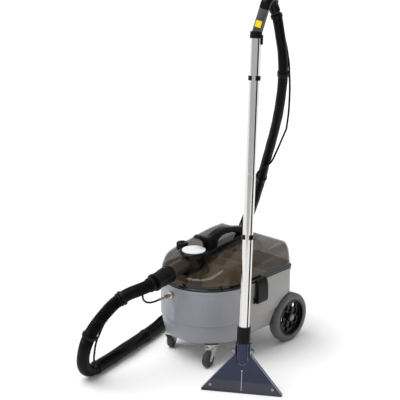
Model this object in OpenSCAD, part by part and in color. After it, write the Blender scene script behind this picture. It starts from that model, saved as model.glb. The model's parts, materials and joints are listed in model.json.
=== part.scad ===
// Spray extraction carpet cleaner: a wheeled tank under a smoked lid, with its
// suction hose and a tubular wand that stands on its floor nozzle.
// Millimetres, +Z up, the floor is z = 0, the machine's front faces -Y and
// x = 0 is its centre plane. y = 0 is the centre of the tank's round front.

/* [Tank] */
// Half width of the tank, and the radius of its round front
tank_r = 172; // [165:1:175]
// Distance from the front's centre to the flat back
tank_back = 264; // [260:1:270]
// Height of the tank's rim
tank_rim = 283; // [280:1:285]
// Height of the tank's underside
tank_floor = 80; // [80:1:82]
// Wall thickness of the tank
tank_wall = 4; // [3:0.5:5]
// Height of the step round the tank
seam_z = 152; // [145:1:160]
// Radius of the two rear corners
corner_r = 30; // [25:1:35]

/* [Lid] */
// Wall thickness of the lid
lid_wall = 3; // [2.5:0.5:4]
// Height of the lid's shoulder above its skirt, at the front
lid_front_h = 27; // [24:1:30]
// Height of the lid's shoulder above its skirt, behind the step in its front
lid_back_h = 56; // [52:1:58]
// Further rise of the lid's shoulder towards the back
lid_rise = 26; // [22:1:28]
// Height of the lid's crown above its shoulder
lid_crown = 4; // [3:1:5]
// Radius of the intake tower
tower_r = 52; // [48:1:54]
// Height of the tower's top
tower_top = 396; // [390:1:400]
// Outside radius of the inlet pipe
inlet_r = 25; // [22:1:26]

/* [Wheels] */
// Radius of a rear wheel
wheel_r = 90; // [85:1:92]
// Width of a rear wheel
wheel_w = 40; // [36:1:42]
// Distance from the centre plane to a rear wheel's outer face
wheel_face = 183; // [181:1:186]
// Position of the axle along the machine
axle_y = 247; // [240:1:250]
// Radius of the axle
axle_r = 6; // [5:0.5:7]
// Radius of a castor wheel
castor_r = 29; // [27:1:30]
// Distance of a castor's wheel from its swivel axis
castor_trail = 23; // [18:1:24]
// Direction in which the left castor trails
castor_turn_left = 113; // [0:1:359]
// Direction in which the right castor trails
castor_turn_right = 280; // [0:1:359]

/* [Wand] */
// Width of the floor nozzle
nozzle_w = 273; // [250:1:280]
// Outside radius of the wand's pipes
pipe_r = 17.5; // [17:0.5:18]
// Backward lean of the wand
wand_lean = 10; // [8:1:12]
// Turn of the nozzle about the vertical
wand_turn = 30; // [25:1:35]
// Sideways lean of the hand grip
grip_lean = 15; // [10:1:20]
// Travel of the spray button
button_travel = 4; // [3:0.5:5]

/* [Hoses] */
// Diameter of the front length of suction hose
front_hose_d = 46; // [44:1:48]
// Diameter of the rear length of suction hose
rear_hose_d = 34; // [32:1:36]
// Diameter of the solution line
line_d = 7; // [6:0.5:8]

/* [Hidden] */
$fn = 64;

gap = 0.05;          // running clearance of a pin in its bore, on the radius
apart = 0.4;         // clearance between pieces that only pass each other
gasket_h = 3;        // thickness of the rim gasket
lid_z = tank_rim + gasket_h;
skirt_z = lid_z + 14;
side_fn = 96;

motor_x = -45;
motor_y = 206;
pump_x = 58;
switch_z = 236;
rocker_tilt = 8;     // a rocker stands this far to either side of level
switch_x = [-48, -16];
gland_x = 48;
cable_hole_r = 9;
latch_y = 68;
latch_w = 52;
latch_pin = [184, 216];
castor_x = 100;
castor_y = -100;
knob_at = [-94, -38];
tower_at = [0, -81];
inlet_tilt = 8;
inlet_z = 362.8;
coupling_x = -22;
coupling_z = 252;

wand_foot = [322, -200, 0];
plate_t = 4;         // thickness of the nozzle's front and back plates
slot_half = 5;       // half of the nozzle's slot
plate_foot = 6;      // height of the plates' lower edges along the wand
neck_w = 171;        // top of the nozzle's neck, along the wand
collar_top = 226;
pipe_joint = 742;
pipe_top = 1193;
screw_at = [106, 21]; // the nozzle's corner screws, across and along the wand
bolt_at = [31, 143];  // the bolts at its shoulders
feed_at = [-16, 23];  // the feed tube, across and behind the pipes
clip_at = [523, 1047];

// Each hose's centreline, from end to end.
front_route = [
    [0, -286, 334], [-1, -314, 330], [-9, -347, 325], [-23, -382, 317], [-32, -408, 306],
    [-42, -433, 291], [-54, -460, 265], [-67, -486, 233], [-80, -504, 200], [-92, -513, 167],
    [-104, -515, 133], [-116, -511, 98], [-127, -500, 66], [-136, -481, 40], [-142, -452, 26],
    [-147, -415, 24], [-155, -364, 24], [-165, -313, 24], [-177, -261, 24], [-192, -189, 24],
    [-208, -115, 24], [-227, -40, 24], [-244, 16, 24], [-259, 74, 24], [-268, 135, 24], [-272, 195, 24],
    [-272, 250, 24],
];
rear_route = [
    [222.6, 73.6, 1233.5], [227, 80, 1206], [229, 90, 1160], [228, 104, 1105], [222, 118, 1050], [209, 133, 990],
    [190, 149, 930], [166, 168, 870], [138, 188, 812], [107, 209, 754], [75, 230, 696], [42, 251, 638],
    [10, 273, 580], [-22, 294, 523], [-56, 315, 466], [-91, 336, 410], [-127, 355, 355], [-163, 372, 301],
    [-197, 384, 247], [-227, 391, 194], [-252, 392, 143], [-269, 386, 97], [-279, 370, 58], [-281, 345, 31],
    [-278, 315, 22], [-272, 285, 24],
];
elbow_route = [
    [231, 4, 1259], [233, 9, 1275], [235, 20, 1290], [234, 36, 1297], [229, 51, 1293], [222, 60, 1281],
    [218, 64, 1263], [222, 72, 1238],
];
line_route = [
    [-22, -237, 252], [-22, -258, 252], [-22, -280, 255], [-21, -299, 263], [-20, -312, 274], [-18, -319, 286],
    [-16, -322, 298],
];

// ---- shared shapes -------------------------------------------------------

// Outline of the tank, drawn in by d
module d_plan(d) {
    r = tank_r - d;
    c = max(corner_r - d, 6);
    back = tank_back - d;
    circle(r, $fn = side_fn);
    translate([-r, 0]) square([2 * r, back - c]);
    translate([-r + c, 0]) square([2 * (r - c), back]);
    for (s = [-1, 1]) translate([s * (r - c), back - c]) circle(c);
}

// One half of the tank's section, drawn in by d
function tank_section(d, top) = [
    [0, tank_floor + d], [146 - d, tank_floor + d], [156 - d, 86 + d], [161 - d, 100], [166 - d, 126],
    [tank_r - 3 - d, seam_z], [tank_r - d, seam_z], [tank_r - d, top], [0, top],
];

// The tank's whole volume, drawn in by d
module tank_mass(d, top) {
    half = tank_section(d, top);
    intersection() {
        union() {
            rotate([0, 0, 180]) rotate_extrude(angle = 180, $fn = side_fn) polygon(half);
            rotate([90, 0, 180]) linear_extrude(tank_back) union() {
                polygon(half);
                mirror([1, 0]) polygon(half);
            }
        }
        linear_extrude(top + 1) d_plan(d);
    }
}

// Room for the rear wheels and for the axle under the tank, larger by d
module wheel_room(d) {
    for (s = [-1, 1])
        translate([s * (wheel_face - wheel_w - 5 - d), axle_y, wheel_r])
            rotate([0, s * 90, 0]) cylinder(r = wheel_r + 8 + d, h = 90);
    translate([-220, 205 - d, 50]) cube([440, 120, 75 + d]);
}

module at_inlet() {
    translate([tower_at[0], tower_at[1], inlet_z]) rotate([90 + inlet_tilt, 0, 0]) children();
}

module at_wheel(side) {
    translate([side * wheel_face, axle_y, wheel_r]) rotate([0, side * 90, 0]) children();
}

module at_wand() {
    translate(wand_foot) rotate([0, 0, wand_turn]) rotate([-wand_lean, 0, 0]) children();
}

module at_grip() {
    at_wand() translate([0, 0, pipe_top]) rotate([0, grip_lean, 0]) children();
}

module ring(r_out, r_in, h) {
    difference() {
        cylinder(r = r_out, h = h);
        translate([0, 0, -1]) cylinder(r = r_in, h = h + 2);
    }
}

// Vector helpers for the swept tubes
function unit(v) = v / norm(v);
function heading(p, i) = unit(p[min(i + 1, len(p) - 1)] - p[max(i - 1, 0)]);
function carried(v, t) = unit(v - (v * t) * t);
function frames(p, i, v) =
    let (n = carried(v, heading(p, i))) i == len(p) - 1 ? [n] : concat([n], frames(p, i + 1, n));

// A round tube swept along the points p, its ends square to start and finish
module tube(p, r, sides, first) {
    side_dir = frames(p, 0, first);
    n = len(p);
    points = [for (i = [0:n - 1], k = [0:sides - 1])
        let (t = heading(p, i), a = side_dir[i], b = cross(t, a), w = 360 * k / sides)
        p[i] + r * (cos(w) * a + sin(w) * b)];
    walls = [for (i = [0:n - 2], k = [0:sides - 1])
        let (m = (k + 1) % sides) each [
            [i * sides + k, (i + 1) * sides + m, i * sides + m],
            [i * sides + k, (i + 1) * sides + k, (i + 1) * sides + m]]];
    caps = [[for (k = [0:sides - 1]) k], [for (k = [sides - 1:-1:0]) (n - 1) * sides + k]];
    polyhedron(points, concat(walls, caps), convexity = 6);
}

// ---- the tank and what is fixed in it ------------------------------------

// The two bosses that hold the axle under the tank
module axle_bosses() {
    top = 126;
    low = wheel_r - 14;
    for (s = [-1, 1]) translate([s * 120 - 5, axle_y - 15, low]) cube([10, 30, top - low]);
}

module solution_tank() {
    color("dimgray") difference() {
        union() {
            tank_mass(0, tank_rim);
            translate([0, 0, tank_rim - 9]) linear_extrude(9) d_plan(-3);
            axle_bosses();
        }
        difference() {
            tank_mass(tank_wall, tank_rim + 1);
            wheel_room(tank_wall);
        }
        difference() {
            wheel_room(0);
            axle_bosses();
        }
        translate([-150, axle_y, wheel_r]) rotate([0, 90, 0]) cylinder(r = axle_r + gap, h = 300);
        translate([coupling_x, -tank_r + 12, coupling_z]) rotate([90, 0, 0]) cylinder(r = 6.6, h = 30);
        translate([gland_x, tank_back - 6, switch_z]) rotate([-90, 0, 0]) cylinder(r = cable_hole_r, h = 8);
    }
}

module tank_gasket() {
    color("black") translate([0, 0, tank_rim]) linear_extrude(gasket_h) difference() {
        d_plan(-1);
        d_plan(7);
    }
}

module bucket_plan(d) {
    r = 150 - d;
    circle(r, $fn = side_fn);
    translate([-r, 0]) square([2 * r, 148 - d]);
}

module recovery_bucket() {
    floor_z = 185;
    color("tan") difference() {
        union() {
            translate([0, 0, floor_z]) linear_extrude(tank_rim - floor_z) bucket_plan(0);
            translate([0, 0, tank_rim - 3]) linear_extrude(3) bucket_plan(-12);
        }
        translate([0, 0, floor_z + 3]) linear_extrude(tank_rim) bucket_plan(3);
    }
}

module motor_housing() {
    low = 129;
    high = 305;
    color("gray") difference() {
        translate([-118, 162, low]) cube([236, 92, high - low]);
        translate([-115, 165, low - 1]) cube([230, 86, high - low - 2]);
        translate([pump_x, 170, 160]) rotate([90, 0, 0]) cylinder(r = 7, h = 20);
        translate([motor_x, motor_y, high - 10]) cylinder(r = 20, h = 20);
    }
}

module at_motor() {
    translate([motor_x, motor_y, 0]) children();
}

module vacuum_motor() {
    color("silver") at_motor() difference() {
        translate([0, 0, 129]) cylinder(r = 39, h = 108);
        translate([0, 0, 150]) cylinder(r = 31, h = 81);
        translate([0, 0, 140]) cylinder(r = 5 + gap, h = 120);
    }
}

module armature() {
    color("peru") at_motor() {
        translate([0, 0, 141]) cylinder(r = 5, h = 137);
        translate([0, 0, 160]) cylinder(r = 28, h = 60);
    }
}

module fan_housing() {
    color("lightgray") at_motor() difference() {
        translate([0, 0, 237.5]) cylinder(r = 40, h = 56);
        translate([0, 0, 241]) cylinder(r = 37, h = 49);
        translate([0, 0, 230]) cylinder(r = 12, h = 30);
        translate([0, 0, 280]) cylinder(r = 16, h = 30);
    }
}

module fan_impeller() {
    color("whitesmoke") at_motor() difference() {
        union() {
            translate([0, 0, 250]) cylinder(r = 34, h = 3);
            translate([0, 0, 250]) cylinder(r = 11, h = 26);
            for (a = [0:30:330]) rotate([0, 0, a]) translate([10, -1, 250]) cube([23, 2, 18]);
        }
        translate([0, 0, 240]) cylinder(r = 5, h = 50);
    }
}

module solution_pump() {
    color("darkslategray") translate([pump_x, 0, 0]) {
        translate([-26, 182, 129]) cube([52, 50, 52]);
        translate([0, 232, 156]) rotate([-90, 0, 0]) cylinder(r = 20, h = 16);
        translate([0, 182, 160]) rotate([90, 0, 0]) cylinder(r = 6, h = 24);
    }
}

module pump_hose() {
    color("black") tube([
        [pump_x, 158, 160], [pump_x, 130, 160], [52, 90, 156], [38, 30, 150], [18, -40, 146],
        [0, -100, 148], [-14, -134, 158], [-20, -151, 170], [-22, -158, 190], [-22, -159, 214],
        [-22, -159, 241]],
        4, 8, [1, 0, 0]);
}

module coupling_socket() {
    color("tan") translate([coupling_x, 0, coupling_z]) rotate([90, 0, 0]) {
        translate([0, 0, 152]) ring(6.5, 3, 42);
        translate([0, 0, 152]) ring(11, 6.5, 12);
        translate([0, 0, tank_r + 0.1]) difference() {
            cylinder(r = 12, h = 8, $fn = 6);
            translate([0, 0, -1]) cylinder(r = 6.5, h = 10);
        }
    }
}

module rear_panel() {
    color("black") difference() {
        translate([-80, tank_back, switch_z - 30]) cube([160, 12, 56]);
        for (x = switch_x) {
            translate([x - 10.5, tank_back - 1, switch_z - 16]) cube([21, 14, 32]);
            translate([x - 13, tank_back + 6, switch_z]) rotate([0, 90, 0]) cylinder(r = 2 + gap, h = 26);
        }
        translate([gland_x, tank_back - 1, switch_z]) rotate([-90, 0, 0]) cylinder(r = cable_hole_r, h = 14);
    }
}

module rocker(x) {
    translate([x, tank_back + 6, switch_z]) rotate([0, 90, 0]) {
        translate([0, 0, -12.5]) cylinder(r = 2, h = 25);
        translate([0, 0, -10]) rotate([0, 0, rocker_tilt]) linear_extrude(20) polygon([
            [-14, 4], [-13, 9], [0, 6], [13, 9], [14, 4], [6, -4], [-6, -4]]);
    }
}

module vacuum_switch() {
    color("red") rocker(switch_x[0]);
}

module pump_switch() {
    color("green") rocker(switch_x[1]);
}

module cable_gland() {
    color("black") translate([gland_x, tank_back, switch_z]) rotate([-90, 0, 0]) difference() {
        union() {
            cylinder(r = 8.9, h = 12);
            translate([0, 0, 12]) cylinder(r = 14, h = 6, $fn = 6);
            translate([0, 0, 18]) cylinder(r1 = 10, r2 = 8, h = 22);
        }
        translate([0, 0, -1]) cylinder(r = 5, h = 50);
    }
}

// ---- wheels and castors --------------------------------------------------

module axle() {
    reach = wheel_face - 4;
    color("silver") translate([-reach, axle_y, wheel_r]) rotate([0, 90, 0]) cylinder(r = axle_r, h = 2 * reach);
}

module tyre(side) {
    w = wheel_w;
    color("dimgray") at_wheel(side) rotate_extrude($fn = side_fn) polygon([
        [68, -1.5], [80, -0.5], [86, -3], [wheel_r, -9], [wheel_r, 9 - w], [86, 3 - w], [80, 0.5 - w], [68, 1.5 - w]]);
}

module tyre_left() {
    tyre(-1);
}

module tyre_right() {
    tyre(1);
}

module hub(side) {
    color("black") at_wheel(side) difference() {
        rotate_extrude($fn = side_fn) polygon([
            [axle_r + gap, -3], [17, -3], [17, -11], [62, -11], [62, -1.5], [67.9, -1.5],
            [67.9, 1.5 - wheel_w], [62, 1.5 - wheel_w], [62, -19], [17, -19], [17, 3 - wheel_w],
            [axle_r + gap, 3 - wheel_w]]);
        for (a = [0:60:300]) rotate([0, 0, a]) translate([32, 0, -16]) cylinder(r = 13, h = 40, $fn = 6);
        for (a = [30:60:330]) rotate([0, 0, a]) translate([48, 0, a % 120 == 30 ? -30 : -16]) rotate([0, 0, 30])
            cylinder(r = 12, h = 40, $fn = 6);
    }
}

module hub_left() {
    hub(-1);
}

module hub_right() {
    hub(1);
}

module hub_cap(side) {
    color("silver") at_wheel(side) translate([0, 0, -3]) rotate_extrude() polygon([
        [0, 0], [12, 0], [12, 2], [10, 4], [5, 5.2], [0, 5.5]]);
}

module hub_cap_left() {
    hub_cap(-1);
}

module hub_cap_right() {
    hub_cap(1);
}

module castor_plates() {
    color("silver") for (s = [-1, 1]) translate([s * castor_x, castor_y, 0]) rotate([0, 0, -45 * s]) difference() {
        union() {
            translate([-15, -26, tank_floor - 2.5]) cube([30, 52, 2.5]);
            translate([0, 0, 69]) cylinder(r = 14, h = 9);
            for (a = [-9, 9], b = [-20, 20]) translate([a, b, tank_floor - 5]) cylinder(r = 3.5, h = 3);
        }
        translate([0, 0, 60]) cylinder(r = 5 + gap, h = 17);
    }
}

module at_castor(side, turn) {
    translate([side * castor_x, castor_y, 0]) rotate([0, 0, turn]) children();
}

module castor_fork() {
    color("silver") {
        translate([0, 0, 60]) cylinder(r = 5, h = 16.5);
        translate([0, 0, 65]) cylinder(r = 15, h = 3.6);
        difference() {
            translate([-14, -13, 60]) cube([31, 26, 5]);
            translate([castor_trail, 20, castor_r]) rotate([90, 0, 0]) cylinder(r = castor_r + 2, h = 40);
        }
        for (s = [-1, 1]) translate([0, s * 12 + 1.25, 0]) rotate([90, 0, 0]) linear_extrude(2.5) union() {
            polygon([[-14, 65], [-14, 58], [castor_trail - 8, castor_r], [castor_trail + 8, castor_r], [17, 58], [17, 65]]);
            translate([castor_trail, castor_r]) circle(8);
        }
        translate([castor_trail, 16, castor_r]) rotate([90, 0, 0]) cylinder(r = 3, h = 32);
    }
}

module castor_wheel() {
    color("dimgray") translate([castor_trail, 10, castor_r]) rotate([90, 0, 0]) rotate_extrude() polygon([
        [3 + gap, 0], [9, 0], [9, 1.5], [20, 1.5], [21, 0], [26, 0], [castor_r, 4],
        [castor_r, 16], [26, 20], [21, 20], [20, 18.5], [9, 18.5], [9, 20], [3 + gap, 20]]);
}

module castor_fork_left() {
    at_castor(-1, castor_turn_left) castor_fork();
}

module castor_fork_right() {
    at_castor(1, castor_turn_right) castor_fork();
}

module castor_wheel_left() {
    at_castor(-1, castor_turn_left) castor_wheel();
}

module castor_wheel_right() {
    at_castor(1, castor_turn_right) castor_wheel();
}

// ---- latches -------------------------------------------------------------

module latch_brackets() {
    ear = 3;
    color("black") for (s = [0, 1]) mirror([s, 0, 0]) {
        for (y = [latch_y - latch_w / 2 - ear - apart, latch_y + latch_w / 2 + apart])
            translate([0, y + ear, 0]) rotate([90, 0, 0]) linear_extrude(ear) union() {
                polygon([[tank_r, 204], [tank_r, 230], [latch_pin[0], 222], [latch_pin[0], 210]]);
                translate(latch_pin) circle(6);
            }
        translate([latch_pin[0], latch_y + latch_w / 2 + ear, latch_pin[1]]) rotate([90, 0, 0])
            cylinder(r = 3, h = latch_w + 2 * ear);
    }
}

module latch() {
    half = latch_w / 2;
    color("black") translate([0, latch_y + half, 0]) rotate([90, 0, 0]) difference() {
        linear_extrude(latch_w) polygon([
            [178, 208], [188, 207], [193, 214], [194, 226], [193, 268], [190, 284], [185, 293],
            [177, 294], [177, 286], [179, 282], [179, 228], [176, 224], [176, 212]]);
        translate([latch_pin[0], latch_pin[1], -1]) cylinder(r = 3 + gap, h = latch_w + 2);
    }
}

module latch_right() {
    latch();
}

module latch_left() {
    mirror([1, 0, 0]) latch();
}

// ---- the lid -------------------------------------------------------------

function smooth(a, b, v) = let (t = min(max((v - a) / (b - a), 0), 1)) t * t * (3 - 2 * t);
function shoulder_h(y) =
    lid_front_h + (lid_back_h - lid_front_h) * smooth(-135, -55, y) + lid_rise * smooth(-60, 200, y);
function shoulder_w(y) = 20 + 12 * smooth(-135, -55, y);

// The lid's outline drawn in by d, anticlockwise from the front's left end
function lid_outline(d) = let (r = tank_r - d, c = max(corner_r - d, 8), back = tank_back - d) concat(
    [for (i = [0:24]) let (w = 180 + 7.5 * i) [r * cos(w), r * sin(w)]],
    [for (i = [1:5]) [r, (back - c) * i / 6]],
    [for (i = [0:5]) let (w = 18 * i) [r - c + c * cos(w), back - c + c * sin(w)]],
    [for (i = [1:5]) [(r - c) * (1 - i / 3), back]],
    [for (i = [0:5]) let (w = 90 + 18 * i) [c - r + c * cos(w), back - c + c * sin(w)]],
    [for (i = [5:-1:1]) [-r, (back - c) * i / 6]]);

// One ring of the lid: s runs over the shoulder from 0 to 1, then over the top to 2
function lid_ring(s, d) = let (bend = 90 * min(s, 1), top = max(s - 1, 0), edge = lid_outline(0))
    [for (k = [0:len(edge) - 1]) let (
        inset = 3 + d + shoulder_w(edge[k][1]) * (1 - pow(cos(bend), 0.87)) + 118 * top,
        e = lid_outline(inset)[k],
        rise = shoulder_h(e[1]) * pow(sin(bend), 0.87) + lid_crown * (1 - pow(1 - top, 2)))
        [e[0], e[1], skirt_z - d + rise]];
function flat_ring(d, z) = [for (e = lid_outline(d)) [e[0], e[1], z]];

module lid_shell() {
    steps = [0, 0.15, 0.3, 0.45, 0.6, 0.75, 0.9, 1, 1.2, 1.45, 1.7, 2];
    outer = concat([flat_ring(-4, lid_z), flat_ring(-4, lid_z + 6), flat_ring(2.5, lid_z + 7)],
        [for (s = steps) lid_ring(s, 0)]);
    inner = concat([flat_ring(3 + lid_wall, lid_z)], [for (s = steps) lid_ring(s, lid_wall)]);
    n = len(outer[0]);
    points = concat([for (r = outer) each r], [for (r = inner) each r]);
    rows_out = len(outer);
    rows_in = len(inner);
    base = rows_out * n;
    skin_out = [for (i = [0:rows_out - 2], k = [0:n - 1]) let (m = (k + 1) % n) each [
        [i * n + k, (i + 1) * n + m, i * n + m], [i * n + k, (i + 1) * n + k, (i + 1) * n + m]]];
    skin_in = [for (i = [0:rows_in - 2], k = [0:n - 1]) let (m = (k + 1) % n) each [
        [base + i * n + k, base + i * n + m, base + (i + 1) * n + m],
        [base + i * n + k, base + (i + 1) * n + m, base + (i + 1) * n + k]]];
    rim = [for (k = [0:n - 1]) let (m = (k + 1) % n) each [[k, m, base + m], [k, base + m, base + k]]];
    top_out = (rows_out - 1) * n;
    top_in = base + (rows_in - 1) * n;
    caps = [for (k = [1:n - 2]) each [
        [top_out, top_out + k + 1, top_out + k], [top_in, top_in + k, top_in + k + 1]]];
    color("saddlebrown") difference() {
        polyhedron(points, concat(skin_out, skin_in, rim, caps), convexity = 8);
        translate([tower_at[0], tower_at[1], 290]) cylinder(r = 44, h = 100);
    }
}

module intake_tower() {
    color("saddlebrown") difference() {
        translate([tower_at[0], tower_at[1], 0]) rotate_extrude($fn = side_fn) polygon([
            [46, 322], [tower_r + 5, 322], [tower_r + 1, 336], [tower_r - 3, 352], [tower_r - 3, 372], [tower_r, 384],
            [tower_r, tower_top - 3], [tower_r - 3, tower_top], [0, tower_top], [0, tower_top - 5], [46, tower_top - 5]]);
        at_inlet() translate([0, 0, 30]) cylinder(r = inlet_r + gap, h = 60);
    }
}

module badge_disc() {
    color("white") translate([tower_at[0], tower_at[1], tower_top]) cylinder(r = 41, h = 3, $fn = side_fn);
}

module inlet_pipe() {
    color("saddlebrown") at_inlet() translate([0, 0, 38]) ring(inlet_r, inlet_r - 3, 112);
}

module inlet_cuff() {
    start = 124;
    stop = 150;
    end = 204.5;
    color("black") at_inlet() {
        translate([0, 0, start]) ring(inlet_r + 4, inlet_r + gap, stop - start);
        translate([0, 0, stop]) ring(inlet_r + 4, 20, end - stop);
    }
}

module lid_duct() {
    color("black") translate([18, 0, 0]) rotate([0, -90, 0]) linear_extrude(36) polygon([
        [330, -22], [350, -28], [356, -30], [376, -26], [383, 32], [386, 62], [390, 130], [391, 205],
        [384, 214], [372, 214], [350, 60]]);
}

module carry_handle() {
    color("black") translate([13, 0, 0]) rotate([0, -90, 0]) linear_extrude(26) polygon([
        [437, -72], [444, -68], [446, -56], [438, -40], [430, -24], [427, -2], [430, 14], [435, 30], [439, 46],
        [440, 64], [439, 84], [434, 110], [428, 136], [419, 172], [411, 194], [402, 203], [391.2, 204],
        [390.5, 156], [400, 147], [407, 136], [414, 112], [418, 78], [416, 56], [410, 42], [402, 34],
        [383.1, 31], [377, -20], [400, -21], [410, -26], [419, -38], [430, -54], [435, -64]]);
}

module valve_neck() {
    color("black") translate([knob_at[0], knob_at[1], 0]) {
        translate([0, 0, 344]) cylinder(r = 13, h = 22);
        translate([0, 0, 366]) cylinder(r = 8, h = 14);
    }
}

module bleed_knob() {
    color("black") translate([knob_at[0], knob_at[1], 0]) difference() {
        translate([0, 0, 366 + apart]) rotate_extrude() polygon([
            [8 + gap, 0], [19, 0], [21, 3], [21, 22], [19, 25], [9, 25], [7, 20], [0, 20], [0, 15], [8 + gap, 15]]);
        for (a = [0:45:315]) rotate([0, 0, a]) translate([22.5, 0, 360]) cylinder(r = 3.5, h = 40, $fn = 24);
    }
}

module float_cage() {
    color("white") translate([tower_at[0], tower_at[1], 0]) {
        translate([0, 0, 323]) ring(45.5, 17, 4);
        translate([0, 0, 252]) ring(30, 14, 4);
        for (a = [0:60:300]) rotate([0, 0, a]) translate([25, -3, 255]) cube([5, 6, 69]);
    }
}

module float_ball() {
    color("orange") translate([tower_at[0], tower_at[1], 273.3]) sphere(r = 22);
}

// ---- the wand ------------------------------------------------------------

// Outline of a nozzle plate, above the height foot along the wand
module nozzle_plan(foot) {
    half = nozzle_w / 2;
    polygon([[-half, foot], [half, foot], [27.5, 133], [27.5, neck_w], [-27.5, neck_w], [-27.5, 133]]);
    for (x = [-bolt_at[0], bolt_at[0]]) translate([x, bolt_at[1]]) circle(7.5);
}

// Holes for the nozzle's screws and bolts, and room for its neck
module nozzle_holes() {
    for (s = [-1, 1]) {
        translate([s * screw_at[0], 25, screw_at[1]]) rotate([90, 0, 0]) cylinder(r = 2.6, h = 50);
        translate([s * bolt_at[0], 25, bolt_at[1]]) rotate([90, 0, 0]) cylinder(r = 4.1, h = 50);
    }
    translate([0, 0, 104]) cylinder(r = 20 + gap, h = 100);
}

// A lip runs from inside a plate's lower edge, between near and far, to a flat foot on the floor
function leaned(y, w) = [y * cos(wand_lean) + w * sin(wand_lean), -y * sin(wand_lean) + w * cos(wand_lean)];
module lip(near, far) {
    a = leaned(near + 0.3, plate_foot + 1);
    b = leaned(far - 0.3, plate_foot + 1);
    translate(wand_foot) rotate([0, 0, wand_turn]) translate([-nozzle_w / 2, 0, 0]) rotate([90, 0, 90])
        linear_extrude(nozzle_w) polygon([[a[0] - 0.8, 0], [b[0] - 0.8, 0], b, a]);
}

module nozzle_front() {
    color("midnightblue") {
        at_wand() difference() {
            translate([0, -slot_half, 0]) rotate([90, 0, 0]) linear_extrude(plate_t) nozzle_plan(plate_foot);
            nozzle_holes();
        }
        lip(-slot_half - plate_t, -slot_half);
    }
}

// The back plate carries the two side walls that close the slot
module nozzle_back() {
    color("midnightblue") lip(slot_half, slot_half + plate_t);
    color("midnightblue") at_wand() difference() {
        union() {
            translate([0, slot_half + plate_t, 0]) rotate([90, 0, 0]) linear_extrude(plate_t) nozzle_plan(plate_foot);
            translate([0, slot_half + 1, 0]) rotate([90, 0, 0]) linear_extrude(2 * slot_half + 1) difference() {
                nozzle_plan(plate_foot);
                translate([0, -4]) scale([0.97, 0.97]) nozzle_plan(plate_foot);
                translate([-20.2, 60]) square([40.4, 140]);
            }
        }
        nozzle_holes();
    }
}

module nozzle_neck() {
    color("navy") at_wand() translate([0, 0, 105]) ring(20, 16.5, neck_w - 105);
}

module nozzle_screws() {
    face = slot_half + plate_t;
    color("silver") at_wand() for (s = [-1, 1]) {
        translate([s * screw_at[0], 0, screw_at[1]]) rotate([90, 0, 0]) {
            translate([0, 0, -face - 1]) cylinder(r = 2.5, h = 2 * face + 1);
            translate([0, 0, face]) cylinder(r = 5, h = 3);
        }
        translate([s * bolt_at[0], 0, bolt_at[1]]) rotate([90, 0, 0]) {
            translate([0, 0, -face - 6]) cylinder(r = 4, h = 2 * face + 6);
            translate([0, 0, face]) cylinder(r = 7, h = 5, $fn = 6);
            translate([0, 0, -face - 5]) cylinder(r = 7, h = 5, $fn = 6);
        }
    }
}

module spray_bar() {
    y = slot_half + plate_t + 8;
    color("silver") at_wand() {
        translate([-62, y, 46]) rotate([0, 90, 0]) cylinder(r = 4, h = 124);
        for (x = [-48, 0, 48]) translate([x, y, 30]) cylinder(r = 5.5, h = 16);
        for (x = [-30, 30]) translate([x - 4, slot_half + plate_t, 40]) cube([8, 8, 12]);
        translate([feed_at[0], feed_at[1], 46]) cylinder(r = 4, h = 94);
    }
}

module neck_collar() {
    color("black") at_wand() translate([0, 0, neck_w]) difference() {
        cylinder(r = 23, h = collar_top - neck_w);
        translate([0, 0, -1]) cylinder(r = 16.5, h = 7);
        translate([0, 0, 5]) cylinder(r = pipe_r, h = 80);
    }
}

module lower_pipe() {
    color("silver") at_wand() translate([0, 0, neck_w + 5]) ring(pipe_r, pipe_r - 1.5, pipe_joint - neck_w - 5);
}

module upper_pipe() {
    color("silver") at_wand() {
        translate([0, 0, pipe_joint]) ring(pipe_r, pipe_r - 1.5, pipe_top - pipe_joint);
        translate([0, 0, pipe_joint - 40]) ring(pipe_r - 1.55, pipe_r - 3, 40);
        translate([0, 0, pipe_joint - 1]) translate([0, 0, 1]) ring(pipe_r, pipe_r - 3, 2);
    }
}

// Room for the feed tube beside the pipes, r from its centre
module feed_eye(r, h) {
    translate([feed_at[0], feed_at[1], 0]) cylinder(r = r, h = h);
}

module pipe_clips() {
    h = 15;
    color("black") at_wand() for (w = clip_at) translate([0, 0, w]) difference() {
        union() {
            cylinder(r = pipe_r + 3, h = h);
            feed_eye(7, h);
            rotate([0, 0, atan2(feed_at[1], feed_at[0])]) translate([0, -4, 0]) cube([norm(feed_at), 8, h]);
        }
        translate([0, 0, -1]) cylinder(r = pipe_r, h = h + 2);
        translate([0, 0, -1]) feed_eye(4, h + 2);
        translate([-8, -30, -1]) cube([16, 20, h + 2]);
    }
}

module wand_tube() {
    color("lightgray") at_wand() translate([0, 0, 140]) feed_eye(4, pipe_top - 140);
}

module valve_body() {
    color("black") at_wand() translate([0, 0, pipe_top]) difference() {
        union() {
            cylinder(r = 20, h = 12);
            feed_eye(7, 12);
            rotate([0, 0, atan2(feed_at[1], feed_at[0])]) translate([0, -5, 0]) cube([norm(feed_at), 10, 12]);
        }
        translate([0, 0, -1]) cylinder(r = 14, h = 20);
    }
    color("black") at_wand() difference() {
        translate([18, -6, pipe_top - 30]) cube([5, 12, 31]);
        translate([0, 0, pipe_top - 40]) cylinder(r = pipe_r + 0.2, h = 60);
    }
}

module hand_grip() {
    color("dimgray") difference() {
        union() {
            at_grip() translate([0, 0, 2]) cylinder(r = 17, h = 86);
            at_grip() translate([-13, -23, 22]) cube([26, 20, 32]);
        }
        at_grip() translate([0, 0, 50]) cylinder(r = 14, h = 60);
        at_grip() translate([-10.3, -30, 26.7]) cube([20.6, 18, 22.6]);
        at_wand() translate([-40, -40, pipe_top - 30]) cube([80, 80, 42.2]);
    }
}

module spray_button() {
    color("gold") at_grip() translate([-10, -27, 27]) cube([20, 10, 22]);
}

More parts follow.
